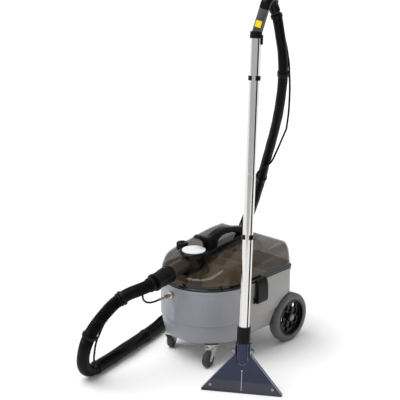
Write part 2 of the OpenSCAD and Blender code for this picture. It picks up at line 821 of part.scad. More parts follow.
module hand_elbow() {
    color("black") tube(elbow_route, rear_hose_d / 2 + 1, 16, [1, 0, 0]);
}

// ---- hoses ---------------------------------------------------------------

module hose_front() {
    color("black") tube(front_route, front_hose_d / 2, 12, [1, 0, 0]);
}

module hose_rear() {
    color("black") tube(rear_route, rear_hose_d / 2, 12, [1, 0, 0]);
}

// A short sleeve over the two hoses' ends
module hose_joiner() {
    last = front_route[len(front_route) - 1];
    joint = rear_route[len(rear_route) - 1];
    color("black") tube([last, (last + joint) / 2, joint], rear_hose_d / 2 + 4, 16, [1, 0, 0]);
}

module coupling_plug() {
    color("tan") translate([coupling_x, -195, coupling_z]) rotate([90, 0, 0]) {
        cylinder(r = 8, h = 18);
        cylinder(r = 5.5, h = 30);
        cylinder(r = 4.5, h = 42);
    }
}

module solution_line() {
    color("black") tube(line_route, line_d / 2, 8, [1, 0, 0]);
}

solution_tank();
tank_gasket();
recovery_bucket();
motor_housing();
vacuum_motor();
armature();
fan_impeller();
fan_housing();
solution_pump();
pump_hose();
coupling_socket();
rear_panel();
vacuum_switch();
pump_switch();
cable_gland();
axle();
tyre_left();
tyre_right();
hub_left();
hub_right();
hub_cap_left();
hub_cap_right();
castor_plates();
castor_fork_left();
castor_fork_right();
castor_wheel_left();
castor_wheel_right();
latch_brackets();
latch_left();
latch_right();
lid_shell();
intake_tower();
badge_disc();
lid_duct();
carry_handle();
inlet_pipe();
inlet_cuff();
valve_neck();
bleed_knob();
float_cage();
float_ball();
nozzle_front();
nozzle_back();
nozzle_neck();
nozzle_screws();
spray_bar();
neck_collar();
lower_pipe();
upper_pipe();
pipe_clips();
wand_tube();
valve_body();
hand_grip();
hand_elbow();
spray_button();
hose_front();
hose_rear();
hose_joiner();
coupling_plug();
solution_line();
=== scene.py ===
"""Looks of a spray extraction carpet cleaner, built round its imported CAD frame.

Metres, +Z up, the floor is z = 0, the machine's front faces -Y and x = 0 is its centre plane.
"""

import json
import math

import bmesh
import bpy
import numpy as np
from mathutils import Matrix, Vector


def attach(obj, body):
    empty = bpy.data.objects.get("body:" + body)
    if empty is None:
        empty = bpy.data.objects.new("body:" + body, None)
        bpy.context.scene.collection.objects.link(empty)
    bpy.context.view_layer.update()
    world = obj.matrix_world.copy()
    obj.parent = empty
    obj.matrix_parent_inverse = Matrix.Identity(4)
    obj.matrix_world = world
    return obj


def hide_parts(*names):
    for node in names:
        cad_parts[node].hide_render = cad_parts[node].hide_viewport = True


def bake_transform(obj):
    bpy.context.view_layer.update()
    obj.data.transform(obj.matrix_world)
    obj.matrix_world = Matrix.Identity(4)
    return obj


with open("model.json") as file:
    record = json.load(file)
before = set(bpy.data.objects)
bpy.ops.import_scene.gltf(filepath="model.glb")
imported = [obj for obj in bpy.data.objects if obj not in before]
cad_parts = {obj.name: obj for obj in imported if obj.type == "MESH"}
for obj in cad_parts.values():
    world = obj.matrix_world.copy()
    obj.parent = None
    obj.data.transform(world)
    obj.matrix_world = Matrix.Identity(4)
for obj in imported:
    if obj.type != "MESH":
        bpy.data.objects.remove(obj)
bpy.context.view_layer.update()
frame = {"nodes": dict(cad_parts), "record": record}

RECORD = frame["record"]
SLOT_OF = {part["node"]: part["material_slot"] for part in RECORD["subparts"]}
BODY_OF = {node: body for body, nodes in RECORD["behaviour"]["bodies"].items() for node in nodes}
MM = 0.001
TURN = 2 * math.pi
FLAT = math.radians(0.6)  # faces that meet at less than this are one face
SHARP = math.radians(38)  # edges that bend more than this are rounded over
FLOOR_HALF = 40  # half the floor sheet's side in metres
FLOOR_Z = -0.0005  # the floor sheet lies this far under the wheels


# ---- camera, light and floor ----------------------------------------------


def aim(thing, place, target):
    """Puts a camera or light at a place, looking at a target."""
    thing.location = place
    thing.rotation_euler = (Vector(target) - Vector(place)).to_track_quat("-Z", "Y").to_euler()
    bpy.context.scene.collection.objects.link(thing)


def set_camera():
    """A long lens, three quarters from the front and a little above the lid."""
    camera = bpy.data.objects.new("camera", bpy.data.cameras.new("camera"))
    camera.data.lens = 128.7
    camera.data.sensor_width = 36
    camera.data.clip_end = 60
    aim(camera, (3.1188, -3.5368, 2.1282), (-0.0435, 0, 0.550))
    bpy.context.scene.camera = camera


set_camera()


# ---- shapes ---------------------------------------------------------------


def flow(route, step):
    """A smooth line through a route's points, cut at equal steps: on each span the cubic whose slope at a
    point is half the chord between its neighbours. Gives the points and their distances along the line."""
    p = np.array(route, float) * MM
    p = np.vstack([2 * p[0] - p[1], p, 2 * p[-1] - p[-2]])
    a, b, c, d = (p[i : len(p) - 3 + i, None] for i in range(4))
    t = np.linspace(0, 1, 24, endpoint=False)[:, None]
    span = (2 * b + (c - a) * t + (2 * a - 5 * b + 4 * c - d) * t**2 + (3 * b - a - 3 * c + d) * t**3) / 2
    fine = np.vstack([span.reshape(-1, 3), p[-2]])
    run = np.r_[0, np.cumsum(np.linalg.norm(np.diff(fine, axis=0), axis=1))]
    s = np.linspace(0, run[-1], round(run[-1] / (step * MM)) + 1)
    return np.stack([np.interp(s, run, fine[:, k]) for k in range(3)], 1), s


def unit(v):
    return v / np.linalg.norm(v, axis=-1, keepdims=True)


def frames(line):
    """Unit tangents along a line, and two unit vectors square to each, which turn as little as they can."""
    ahead = unit(np.gradient(line, axis=0))
    side = np.empty_like(ahead)
    last = np.array([1.0, 0.0, 0.0])
    for i, t in enumerate(ahead):
        last = unit(last - (last @ t) * t)
        side[i] = last
    return ahead, side, np.cross(ahead, side)


def ring_points(count):
    angle = np.linspace(0, TURN, count, endpoint=False)
    return np.cos(angle), np.sin(angle)


def tube(line, radius, sides=40):
    """Rings of points round a line: at each of its points a circle of that point's radius, square to the
    line."""
    _, a, b = frames(line)
    cos, sin = ring_points(sides)
    reach = np.broadcast_to(np.asarray(radius, float).reshape(-1, 1, 1), (len(line), 1, 1))
    circle = cos[None, :, None] * a[:, None] + sin[None, :, None] * b[:, None]
    return line[:, None] + reach * circle


def turned(profile, place, axis=(0, 0, 1), sides=96):
    """Rings of points from a turned profile: radius and height pairs in mm, swept round an axis through a
    place."""
    axis = unit(np.array(axis, float))
    first = unit(np.cross(axis, (0, 1, 0) if abs(axis[1]) < 0.9 else (1, 0, 0)))
    second = np.cross(axis, first)
    r, h = np.array(profile, float).T * MM
    cos, sin = ring_points(sides)
    circle = cos[:, None] * first + sin[:, None] * second
    return np.array(place, float) * MM + h[:, None, None] * axis + r[:, None, None] * circle


def eased_corners(points, radius, steps=5):
    """An open chain of points with each inner corner rounded: a parabola from one side to the other, which
    starts at most half way along the shorter side."""
    p = np.array(points, float)
    before, after = p[:-2] - p[1:-1], p[2:] - p[1:-1]
    long_before = np.linalg.norm(before, axis=1, keepdims=True)
    long_after = np.linalg.norm(after, axis=1, keepdims=True)
    cut = np.minimum(radius, np.minimum(long_before, long_after) / 2)
    start, end = p[1:-1] + before / long_before * cut, p[1:-1] + after / long_after * cut
    t = np.linspace(0, 1, steps)[None, :, None]
    bend = (1 - t) ** 2 * start[:, None] + 2 * t * (1 - t) * p[1:-1, None] + t**2 * end[:, None]
    return np.vstack([p[:1], bend.reshape(-1, p.shape[1]), p[-1:]])


def show(mesh, name, finish, body, replaced=()):
    """Makes a mesh a piece: it gets its finish, moves with a body and may stand for CAD nodes."""
    piece = bpy.data.objects.new(name, mesh)
    bpy.context.scene.collection.objects.link(piece)
    mesh.materials.clear()
    mesh.materials.append(finish)
    if body:
        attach(piece, body)
    if replaced:
        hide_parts(*replaced)
    return piece


def tidy(mesh, smooth):
    """Merges doubled points, turns the faces outwards and shades them smooth where they meet at less than
    that angle."""
    work = bmesh.new()
    work.from_mesh(mesh)
    bmesh.ops.remove_doubles(work, verts=work.verts, dist=2e-6)
    bmesh.ops.dissolve_degenerate(work, edges=work.edges, dist=1e-7)
    bmesh.ops.recalc_face_normals(work, faces=work.faces)
    work.to_mesh(mesh)
    work.free()
    mesh.shade_smooth()
    mesh.set_sharp_from_angle(angle=math.radians(smooth))


def skin(name, grid, ends="closed", along=None, smooth=50):
    """A mesh over rings of points: a quad between each four neighbours, the last column joined to the
    first, and each end closed to its ring's centre, or the last ring joined to the first. Its UV map has
    the turn round the ring and the distance along the rings."""
    if ends == "closed":
        grid = np.concatenate([grid[:1].mean(1, keepdims=True).repeat(grid.shape[1], 1), grid,
                               grid[-1:].mean(1, keepdims=True).repeat(grid.shape[1], 1)])
        along = None if along is None else np.r_[along[0], along, along[-1]]
    rows, columns = grid.shape[:2]
    spans = rows if ends == "loop" else rows - 1
    i, j = np.meshgrid(np.arange(spans), np.arange(columns), indexing="ij")
    corners = [(i, j), (i, j + 1), (i + 1, j + 1), (i + 1, j)]
    faces = np.stack([(a % rows) * columns + b % columns for a, b in corners], -1).reshape(-1, 4)
    mesh = bpy.data.meshes.new(name)
    mesh.from_pydata(grid.reshape(-1, 3), [], faces.tolist())
    along = np.arange(rows) * MM if along is None else np.asarray(along)
    along = np.append(along, 2 * along[-1] - along[-2])
    uv = np.stack([np.stack([b / columns, along[a]], -1) for a, b in corners], 2)
    mesh.uv_layers.new(name="run").data.foreach_set("uv", uv.reshape(-1).astype(np.float32))
    tidy(mesh, smooth)
    return mesh


def join(name, *meshes):
    """One mesh from several."""
    work = bmesh.new()
    for mesh in meshes:
        work.from_mesh(mesh)
        bpy.data.meshes.remove(mesh)
    joined = bpy.data.meshes.new(name)
    work.to_mesh(joined)
    work.free()
    joined.shade_smooth()
    joined.set_sharp_from_angle(angle=math.radians(50))
    return joined


def machined(node, finish, edge):
    """Stands for a CAD node: a merged copy of it whose sharp edges are rounded over by that many mm."""
    mesh = frame["nodes"][node].data.copy()
    work = bmesh.new()
    work.from_mesh(mesh)
    bmesh.ops.remove_doubles(work, verts=work.verts, dist=2e-6)
    bmesh.ops.dissolve_limit(work, angle_limit=FLAT, verts=work.verts, edges=work.edges)
    work.to_mesh(mesh)
    work.free()
    mesh.shade_smooth()
    mesh.set_sharp_from_angle(angle=SHARP)
    piece = show(mesh, node + "_piece", finish, BODY_OF[node], [node])
    bevel = piece.modifiers.new("edge", "BEVEL")
    bevel.width = edge * MM
    bevel.segments = 2
    bevel.limit_method = "ANGLE"
    bevel.angle_limit = SHARP
    bevel.miter_outer = "MITER_ARC"
    bevel.harden_normals = True
    return piece


def moulded(node, finish, grain=1.2, rounds=8):
    """Stands for a CAD node: its volume remade in cells of that many mm and relaxed, so every edge is
    softly round."""
    mesh = frame["nodes"][node].data.copy()
    tidy(mesh, 40)
    piece = show(mesh, node + "_piece", finish, BODY_OF[node], [node])
    remesh = piece.modifiers.new("cells", "REMESH")
    remesh.mode = "VOXEL"
    remesh.voxel_size = grain * MM
    remesh.use_smooth_shade = True
    relax = piece.modifiers.new("relax", "SMOOTH")
    relax.factor = 0.5
    relax.iterations = rounds
    return piece


# ---- finishes -------------------------------------------------------------


class Value:
    """A number inside a finish. Sums and products of values add the finish's Math nodes."""

    def __init__(self, finish, socket):
        self.finish, self.socket = finish, socket

    def maths(self, operation, *others):
        return self.finish.node("ShaderNodeMath", {"operation": operation}, *others)

    def __add__(self, other):
        return self.maths("ADD", self, other)

    def __sub__(self, other):
        return self.maths("SUBTRACT", self, other)

    def __rsub__(self, other):
        return self.maths("SUBTRACT", other, self)

    def __mul__(self, other):
        return self.maths("MULTIPLY", self, other)

    __radd__, __rmul__ = __add__, __mul__

    def step(self, low, high):
        """0 up to low, 1 from high, and a smooth rise between."""
        settings = {"interpolation_type": "SMOOTHSTEP", "clamp": True}
        return self.finish.node("ShaderNodeMapRange", settings, self, low, high)


class Finish:
    """One material: a Principled shader whose constant sockets are set by name, and the nodes that vary
    it."""

    def __init__(self, name, **constants):
        self.material = bpy.data.materials.new(name)
        self.material.use_nodes = True
        self.nodes = self.material.node_tree.nodes
        self.shader = self.nodes["Principled BSDF"]
        self.wire(self.shader, constants)

    def wire(self, node, sockets):
        for socket, value in sockets.items():
            place = node.inputs[socket.replace("_", " ") if isinstance(socket, str) else socket]
            if isinstance(value, Value):
                self.material.node_tree.links.new(value.socket, place)
            elif place.type == "RGBA" and len(value) == 3:
                place.default_value = (*value, 1)
            else:
                place.default_value = value

    def node(self, kind, settings, *inputs, output=0, **named):
        """Any node: its settings first, then the values or links of its sockets, in order or by name."""
        made = self.nodes.new(kind)
        for key, value in settings.items():
            setattr(made, key, value)
        self.wire(made, {**dict(enumerate(inputs)), **named})
        return Value(self, made.outputs[output])

    def put(self, **sockets):
        self.wire(self.shader, sockets)
        return self

    def place(self, scale=(1, 1, 1), uv=False):
        """The point on the piece, in metres, or on its own UV map, stretched."""
        point = self.node("ShaderNodeTexCoord", {}, output=2 if uv else 3)
        return self.node("ShaderNodeMapping", {}, point, Scale=scale)

    def noise(self, scale, detail=2.0, stretch=(1, 1, 1), uv=False):
        """Cloudy noise from 0 to 1, with that many lumps to the metre."""
        point = self.place(stretch, uv)
        return self.node("ShaderNodeTexNoise", {}, Vector=point, Scale=scale, Detail=detail)

    def pits(self, scale):
        """Distance to the nearest of many scattered points, for moulded grain."""
        return self.node("ShaderNodeTexVoronoi", {}, Vector=self.place(), Scale=scale)

    def axis(self, index, uv=False):
        """One coordinate of the point on the piece."""
        return self.node("ShaderNodeSeparateXYZ", {}, self.place(uv=uv), output=index)

    def mix(self, mask, first, second):
        """From the first colour to the second as the mask goes from 0 to 1."""
        made = self.nodes.new("ShaderNodeMix")
        made.data_type = "RGBA"
        self.wire(made, {0: mask, 6: first, 7: second})
        return Value(self, made.outputs[2])

    def bump(self, height, depth_mm):
        """Raises the surface by up to that many mm where the height is 1."""
        normal = self.node("ShaderNodeBump", {}, Strength=1.0, Distance=depth_mm * MM, Height=height)
        return self.put(Normal=normal)


def tint(colour, factor):
    return tuple(min(c * factor, 1) for c in colour)


def plastic(name, colour, rough, grain=900, depth=0.05, shade=0.16, scuff=0.10, **constants):
    """Moulded plastic: cloudy shade, fine moulded grain and patches that are a little duller."""
    f = Finish(name, **constants)
    cloud, rub = f.noise(9, 4), f.noise(45, 6)
    f.put(Base_Color=f.mix(cloud, tint(colour, 1 - shade), tint(colour, 1 + shade)),
          Roughness=rub.step(0.35, 0.75) * scuff + (rough - scuff / 2))
    return f.bump(f.pits(grain) + rub * 0.6, depth).material


def metal(name, colour, rough, brush=(1, 1, 1), scale=900, depth=0.01, **constants):
    """Metal with a directional polish, a little tarnish and smears."""
    f = Finish(name, Metallic=1.0, **constants)
    lines, smear = f.noise(scale, 3, brush), f.noise(22, 5)
    f.put(Base_Color=f.mix(smear, tint(colour, 0.9), colour), Roughness=lines * 0.1 + smear * 0.08 + rough)
    return f.bump(lines, depth).material


def rubber(name, colour, rough, uv_streaks=0.0, shine=0.07):
    """Dull rubber: dusty bloom, fine grain and, on a hose, long streaks along its own run."""
    f = Finish(name, Specular_IOR_Level=shine)
    dust, grain = f.noise(30, 6), f.noise(1400, 2)
    if uv_streaks:
        streak = f.noise(6, 4, (3, 0.7, 1), uv=True)
        f.put(Base_Color=f.mix(streak.step(0.4, 0.75), colour, tint(colour, 1 + uv_streaks)),
              Roughness=streak * 0.25 + dust * 0.15 + rough - 0.2)
    else:
        f.put(Base_Color=f.mix(dust, tint(colour, 0.8), tint(colour, 1.3)), Roughness=dust * 0.2 + rough - 0.1)
    return f.bump(grain + dust * 0.5, 0.04).material


def tank_plastic():
    """The tank's satin grey: cooler in front, warmer low on the sides, finely grained, and scuffed towards
    the floor, with a thin line of painted shade round it under the step at the seam."""
    f = Finish("tank_grey", Specular_IOR_Level=0.5, Coat_Roughness=0.3)
    cloud, scuff, z = f.noise(5, 4), f.noise(60, 7, (1, 1, 0.3)), f.axis(2)
    cool = f.axis(1).step(0.05, -0.16)
    low = 1 - z.step(0.08, 0.15)
    base = f.mix(cool, (0.300, 0.294, 0.286), (0.262, 0.274, 0.308))
    worn = f.mix(scuff.step(0.62, 0.72) * 0.25 + low * 0.12, base, (0.40, 0.39, 0.37))
    # painted shade: a thin near-black band at z 150-152 mm stands for the shadow in the gap under the seam's
    # overhanging step
    painted_seam_shade = z.step(0.1498, 0.1504) - z.step(0.1518, 0.1524)
    shaded = f.mix(painted_seam_shade, f.mix(cloud.step(0.3, 0.7) * 0.25, worn, (0.24, 0.246, 0.258)), (0.030, 0.030, 0.032))
    f.put(Base_Color=shaded,
          Roughness=scuff * 0.12 + 0.30, Coat_Weight=cloud * 0.08 + 0.05)
    return f.bump(f.pits(1300) + scuff * 0.8, 0.035).material


def smoked(name, colour, alpha, shine=0.5):
    """Smoked clear plastic: more solid towards its thick lip, with faint flow lines and dust."""
    f = Finish(name, IOR=1.49, Specular_IOR_Level=shine)
    z, smear, flow_line = f.axis(2), f.noise(14, 5), f.noise(30, 3, (1, 1, 5))
    lip = 1 - z.step(0.2995, 0.3035)
    f.put(Base_Color=f.mix(lip, f.mix(smear, colour, tint(colour, 1.5)), (0.006, 0.0055, 0.0055)),
          Alpha=lip * (0.97 - alpha) + smear * 0.06 + (alpha - 0.03),
          Roughness=smear.step(0.4, 0.8) * 0.08 + 0.07)
    return f.bump(flow_line, 0.08).material


def navy_clear():
    """The nozzle's clear navy plastic, greyer in the band over its lips, with fine scratches."""
    f = Finish("blue_clear", IOR=1.49, Specular_IOR_Level=0.4)
    z, cloud, scratch = f.axis(2), f.noise(18, 4), f.noise(120, 6, (1, 1, 0.15))
    band = 1 - z.step(0.036, 0.044)
    f.put(Base_Color=f.mix(band, f.mix(cloud, (0.007, 0.012, 0.036), (0.012, 0.019, 0.054)), (0.034, 0.036, 0.050)),
          Alpha=cloud * 0.03 + 0.96, Roughness=scratch.step(0.55, 0.7) * 0.06 + 0.14)
    return f.bump(scratch, 0.003).material


def chromed():
    """Polished chrome with faint draw lines along the pipe and finger smears."""
    f = Finish("chrome", Metallic=1.0)
    draw, smear = f.noise(900, 2, (1, 1, 0.02)), f.noise(12, 5)
    f.put(Base_Color=f.mix(smear, (0.66, 0.65, 0.63), (0.78, 0.775, 0.765)),
          Roughness=smear.step(0.35, 0.8) * 0.06 + draw * 0.03 + 0.05)
    return f.bump(draw, 0.004).material


def tyre_rubber():
    """The tyre's mid grey moulded rubber, dusty on its tread."""
    f = Finish("tyre_grey", Specular_IOR_Level=0.4)
    dust, grain = f.noise(28, 6), f.noise(1200, 3)
    f.put(Base_Color=f.mix(dust.step(0.35, 0.75), (0.085, 0.087, 0.090), (0.125, 0.126, 0.128)),
          Roughness=dust * 0.2 + 0.42)
    return f.bump(grain + dust, 0.05).material


BLACK = (0.0035, 0.0035, 0.0038)
FINISHES = {
    "tank_grey": tank_plastic(),
    "seal_black": rubber("seal_black", (0.012, 0.012, 0.012), 0.55),
    "bucket_tan": plastic("bucket_tan", (0.66, 0.53, 0.35), 0.45),
    "housing_grey": plastic("housing_grey", (0.36, 0.32, 0.28), 0.45),
    "motor_steel": metal("motor_steel", (0.55, 0.55, 0.55), 0.32, (1, 1, 20)),
    "armature_copper": metal("armature_copper", (0.70, 0.36, 0.18), 0.35),
    "white_plastic": plastic("white_plastic", (0.70, 0.70, 0.67), 0.4),
    "black_plastic": plastic("black_plastic", BLACK, 0.34, grain=1100, depth=0.03, shade=0.3, Specular_IOR_Level=0.14),
    "hose_rubber": rubber("hose_rubber", (0.0018, 0.0018, 0.0020), 0.42, 0.9, 0.08),
    "nickel": metal("nickel", (0.62, 0.55, 0.44), 0.18),
    "switch_red": plastic("switch_red", (0.50, 0.02, 0.015), 0.25),
    "switch_green": plastic("switch_green", (0.02, 0.30, 0.06), 0.25),
    "zinc_steel": metal("zinc_steel", (0.58, 0.58, 0.56), 0.26, (1, 1, 8)),
    "tyre_grey": tyre_rubber(),
    "hub_black": plastic("hub_black", (0.002, 0.002, 0.0025), 0.14, depth=0.01, shade=0.3, scuff=0.06,
                         Specular_IOR_Level=0.22),
    "chrome": chromed(),
    "castor_rubber": rubber("castor_rubber", (0.060, 0.061, 0.064), 0.5),
    "smoked_clear": smoked("smoked_clear", (0.040, 0.028, 0.019), 0.50),
    "smoked_dark": plastic("smoked_dark", (0.008, 0.0065, 0.006), 0.16, grain=500, depth=0.01, scuff=0.05,
                           Specular_IOR_Level=0.3),
    "badge_white": plastic("badge_white", (0.74, 0.78, 0.80), 0.22, depth=0.01, shade=0.03, scuff=0.05),
    "float_orange": plastic("float_orange", (0.16, 0.06, 0.02), 0.4),
    "blue_clear": navy_clear(),
    "line_grey": plastic("line_grey", (0.36, 0.36, 0.34), 0.25, depth=0.01),
    "grip_grey": plastic("grip_grey", (0.060, 0.060, 0.062), 0.42, grain=1500, depth=0.06, shade=0.12),
    "button_yellow": plastic("button_yellow", (0.88, 0.70, 0.02), 0.28, depth=0.02, shade=0.05),
}


# ---- hoses ----------------------------------------------------------------

FRONT_ROUTE = [
    (0, -286, 334), (-1, -314, 330), (-9, -347, 325), (-23, -382, 317), (-32, -408, 306),
    (-42, -433, 291), (-54, -460, 265), (-67, -486, 233), (-80, -504, 200), (-92, -513, 167),
    (-104, -515, 133), (-116, -511, 98), (-127, -500, 66), (-136, -481, 40), (-142, -452, 26),
    (-147, -415, 24), (-155, -364, 24), (-165, -313, 24), (-177, -261, 24), (-192, -189, 24),
    (-208, -115, 24), (-227, -40, 24), (-244, 16, 24), (-259, 74, 24), (-268, 135, 24), (-272, 195, 24),
    (-272, 250, 24),
]
REAR_ROUTE = [
    (222.6, 73.6, 1233.5), (227, 80, 1206), (229, 90, 1160), (228, 104, 1105), (222, 118, 1050), (209, 133, 990),
    (190, 149, 930), (166, 168, 870), (138, 188, 812), (107, 209, 754), (75, 230, 696), (42, 251, 638),
    (10, 273, 580), (-22, 294, 523), (-56, 315, 466), (-91, 336, 410), (-127, 355, 355), (-163, 372, 301),
    (-197, 384, 247), (-227, 391, 194), (-252, 392, 143), (-269, 386, 97), (-279, 370, 58), (-281, 345, 31),
    (-278, 315, 22), (-272, 285, 24),
]
LINE_ROUTE = [
    (-22, -237, 252), (-22, -258, 252), (-22, -280, 255), (-21, -299, 263), (-20, -312, 274), (-18, -319, 286),
    (-16, -322, 298),
]
FRONT_R = 22.4
REAR_R = 16.6
# The body at each end of a hose, and where the bend between them starts and stops
LID_BEND = ("lid", "machine", (0, -0.42, 0.305), (0, -0.42, 0.050))
WAND_BEND = ("wand", "machine", (0.2226, 0.0736, 1.2335), (-0.02, 0.29, 0.52))


def smooth(low, high, v):
    """0 up to low, 1 from high, and a smooth rise between."""
    t = np.clip((v - low) / (high - low), 0, 1)
    return t * t * (3 - 2 * t)


def ribbed_hose():
    """The front length of suction hose: a tube whose radius rises in a rounded rib every 7 mm where the
    rubber shows, and lies nearly flat, with slow swells, where a sleeve covers it."""
    line, s = flow(FRONT_ROUTE, 1.4)
    sleeve = 1 - smooth(0.128, 0.136, s) * (1 - 0.9 * smooth(0.31, 0.37, s))
    rib = (0.5 + 0.5 * np.cos(TURN * s / 0.0068)) ** 0.7
    swell = 0.35 * np.sin(s * 47) + 0.3 * np.sin(s * 91 + 1)
    radius = (FRONT_R + 0.5 - 3.2 * (1 - rib) * (1 - sleeve) + 0.5 * swell * sleeve - 1.0 * sleeve) * MM
    piece = show(skin("suction_hose_front", tube(line, radius, 40), along=s), "suction_hose_front",
                 FINISHES["hose_rubber"], None, ["hose_front"])
    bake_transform(piece)
    return line, s


def smooth_hose():
    """The rear length of suction hose: a plain tube with slow swells under its sleeve."""
    line, s = flow(REAR_ROUTE, 5)
    radius = (REAR_R + 0.25 * np.sin(s * 37) + 0.2 * np.sin(s * 83)) * MM
    piece = show(skin("suction_hose_rear", tube(line, radius, 40), along=s), "suction_hose_rear",
                 FINISHES["hose_rubber"], None, ["hose_rear"])
    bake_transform(piece)
    return line, s


front_line, front_run = ribbed_hose()
rear_line, rear_run = smooth_hose()


def band(line, s, at, width, rise):
    """A strap round a hose: a short sleeve with rounded edges, at a distance along its line."""
    shape = eased_corners([(0, -width / 2), (rise, -width / 2), (rise, width / 2), (0, width / 2)], 1.2, 4)
    middle = np.stack([np.interp(at, s, line[:, k]) for k in range(3)])
    ahead = np.stack([np.interp(at + 0.004, s, line[:, k]) for k in range(3)]) - middle
    return turned(shape, middle / MM, ahead, 48)


def hose_ties():
    """The straps that hold the thin line to the hose, in one piece for each hose."""
    front = [(0.016, 9, 25.4), (0.128, 10, 26.4), (0.139, 5, 25.0), (0.298, 11, 26.6), (0.527, 11, 23.8),
             (0.839, 12, 23.8), (1.080, 12, 23.8)]
    rear = [(0.010, 12, 20.0), (0.22, 16, 19.6), (0.73, 14, 19.4), (1.02, 14, 19.4)]
    for name, line, s, ties, ends in (
        ("hose_ties_front", front_line, front_run, front, LID_BEND),
        ("hose_ties_rear", rear_line, rear_run, rear,
         WAND_BEND),
    ):
        mesh = join(name, *(skin(f"{name}_{k}", band(line, s, *tie)) for k, tie in enumerate(ties)))
        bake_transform(show(mesh, name, FINISHES["black_plastic"], None))


def beside(line, s, stations, reach):
    """A line that runs along a hose: at each station it is off the hose's line by the reach and a bow, in
    mm, towards a given direction that is first made square to the hose. Stations: distance along,
    direction, bow."""
    at = np.array([row[0] for row in stations])
    side = np.stack([np.interp(s, at, [row[1][k] for row in stations]) for k in range(3)], 1)
    bow = np.interp(s, at, [row[2] for row in stations])
    ahead = unit(np.gradient(line, axis=0))
    side = unit(side - (side * ahead).sum(1, keepdims=True) * ahead)
    keep = (s >= at[0]) & (s <= at[-1])
    return (line + side * ((reach + bow) * MM)[:, None])[keep][::3] / MM


def thin_line(name, route, body, exit, ends=None, replaced=(), radius=3.4):
    """A length of the 7 mm solution line."""
    line, s = flow(route, 4)
    piece = show(skin(name, tube(line, radius * MM, 20), along=s), name, FINISHES["hose_rubber"], body,
                 replaced)
    if ends:
        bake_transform(piece)
    return piece


hose_ties()
thin_line("solution_line_loop", LINE_ROUTE, "machine", [v * MM for v in LINE_ROUTE[0]],
          replaced=["solution_line"])
front_side = beside(front_line, front_run, [
    (0.045, (-0.5, 0.1, -1), 0), (0.17, (-0.7, 0.2, -0.7), 1), (0.26, (0.1, 0.6, -0.9), 2),
    (0.298, (0.745, 0.667, -0.1), 2), (0.36, (0.745, 0.667, 0), 9), (0.42, (0.745, 0.667, 0.1), 12),
    (0.48, (0.745, 0.5, 0.4), 6), (0.527, (0.4, 0.1, 1), 1), (0.62, (0.5, -0.5, 0.9), 0), (0.70, (0.7, -0.7, 0.3), 0),
    (0.78, (0.7, -0.6, 0.7), 0), (0.839, (0.3, 0, 1), 1), (0.95, (-0.1, 0, 1), 0), (1.08, (0.1, 0, 1), 1),
    (1.18, (0, 0, 1), 0),
], FRONT_R + 3.6)
thin_line("solution_line_front", front_side, None, front_side[0] * MM,
          LID_BEND)
rear_side = beside(rear_line, rear_run, [
    (0.020, (-0.4, 0.9, -0.2), 0), (0.16, (0.3, 0.9, -0.1), 0), (0.22, (0.745, 0.667, 0), 1),
    (0.30, (0.745, 0.667, 0), 8), (0.38, (0.745, 0.667, 0), 14), (0.46, (0.745, 0.667, 0), 19),
    (0.53, (0.745, 0.60, 0.1), 12), (0.60, (0.745, 0.1, 0.3), 3), (0.67, (0.3, -0.8, 0.4), 0),
    (0.74, (-0.745, -0.667, 0.4), 0), (1.00, (-0.7, -0.5, 0.5), 0), (1.30, (-0.8, 0.3, 0.3), 0),
], REAR_R + 3.6)
thin_line("solution_line_rear", rear_side, None, rear_side[0] * MM,
          WAND_BEND)


# ---- the lid --------------------------------------------------------------

TANK_R, TANK_BACK, CORNER_R = 172, 264, 30


def outline(d, across=96, side=40, corner=14):
    """The tank's plan drawn in by d: a half circle in front, two straight sides and a back with two round
    corners, anticlockwise from the front's left end. d is one number or one for each point."""
    counts = (across, side, corner, side, corner, side)
    stage = np.repeat(np.arange(6), counts)
    t = np.concatenate([np.arange(n) / n for n in counts])
    d = np.broadcast_to(d, t.shape)
    r, c = TANK_R - d, np.maximum(CORNER_R - d, 8)
    back = TANK_BACK - d
    front, turn = math.pi * (1 + t), math.pi / 2 * t
    x = np.choose(stage, [r * np.cos(front), r, r - c + c * np.cos(turn), (r - c) * (1 - 2 * t),
                          c - r - c * np.sin(turn), -r])
    y = np.choose(stage, [r * np.sin(front), (back - c) * t, back - c + c * np.sin(turn), back,
                          back - c + c * np.cos(turn), (back - c) * (1 - t)])
    return np.stack([x, y], -1)


def lid_ring(s, d):
    """One ring of the lid's skin, drawn in by d. Over the shoulder, s from 0 to 1, it bends in a flattened
    quarter round that is low in front and high at the back. Over the top, s from 1 to 2, it rises in a
    shallow crown."""
    bend, top = math.pi / 2 * min(s, 1), max(s - 1, 0)
    y = outline(0)[:, 1]
    width = 20 + 12 * smooth(-135, -55, y)
    plan = outline(3 + d + width * (1 - max(math.cos(bend), 0) ** 0.87) + 118 * top)
    height = 27 + 29 * smooth(-135, -55, plan[:, 1]) + 26 * smooth(-60, 200, plan[:, 1])
    z = 300 - d + height * math.sin(bend) ** 0.87 + 4 * (1 - (1 - top) ** 2)
    return np.column_stack([plan, z])


def level_ring(d, z):
    plan = outline(d)
    return np.column_stack([plan, np.full(len(plan), float(z))])


def lid_cover():
    """The smoked lid: a lip that stands over the gasket, the outer skin from lip to crown and back down
    inside."""
    steps = np.r_[np.linspace(0, 1, 20)[:-1], np.linspace(1, 2, 22)]
    lip = [level_ring(*row) for row in ((-2, 286), (-3.6, 286.6), (-4, 288), (-4, 290.5), (-3.4, 291.8), (-1, 292.6),
                                        (2.5, 293), (3, 295))]
    rings = lip + [lid_ring(s, 0) for s in steps] + [lid_ring(s, 3) for s in steps[::-1]] + [level_ring(6, 286)]
    mesh = skin("lid_cover", np.array(rings) * MM, ends="loop", smooth=60)
    show(mesh, "lid_cover", FINISHES["smoked_clear"], "lid", ["lid_shell"])


lid_cover()


# ---- parts kept from the frame, with their edges eased ----------------------

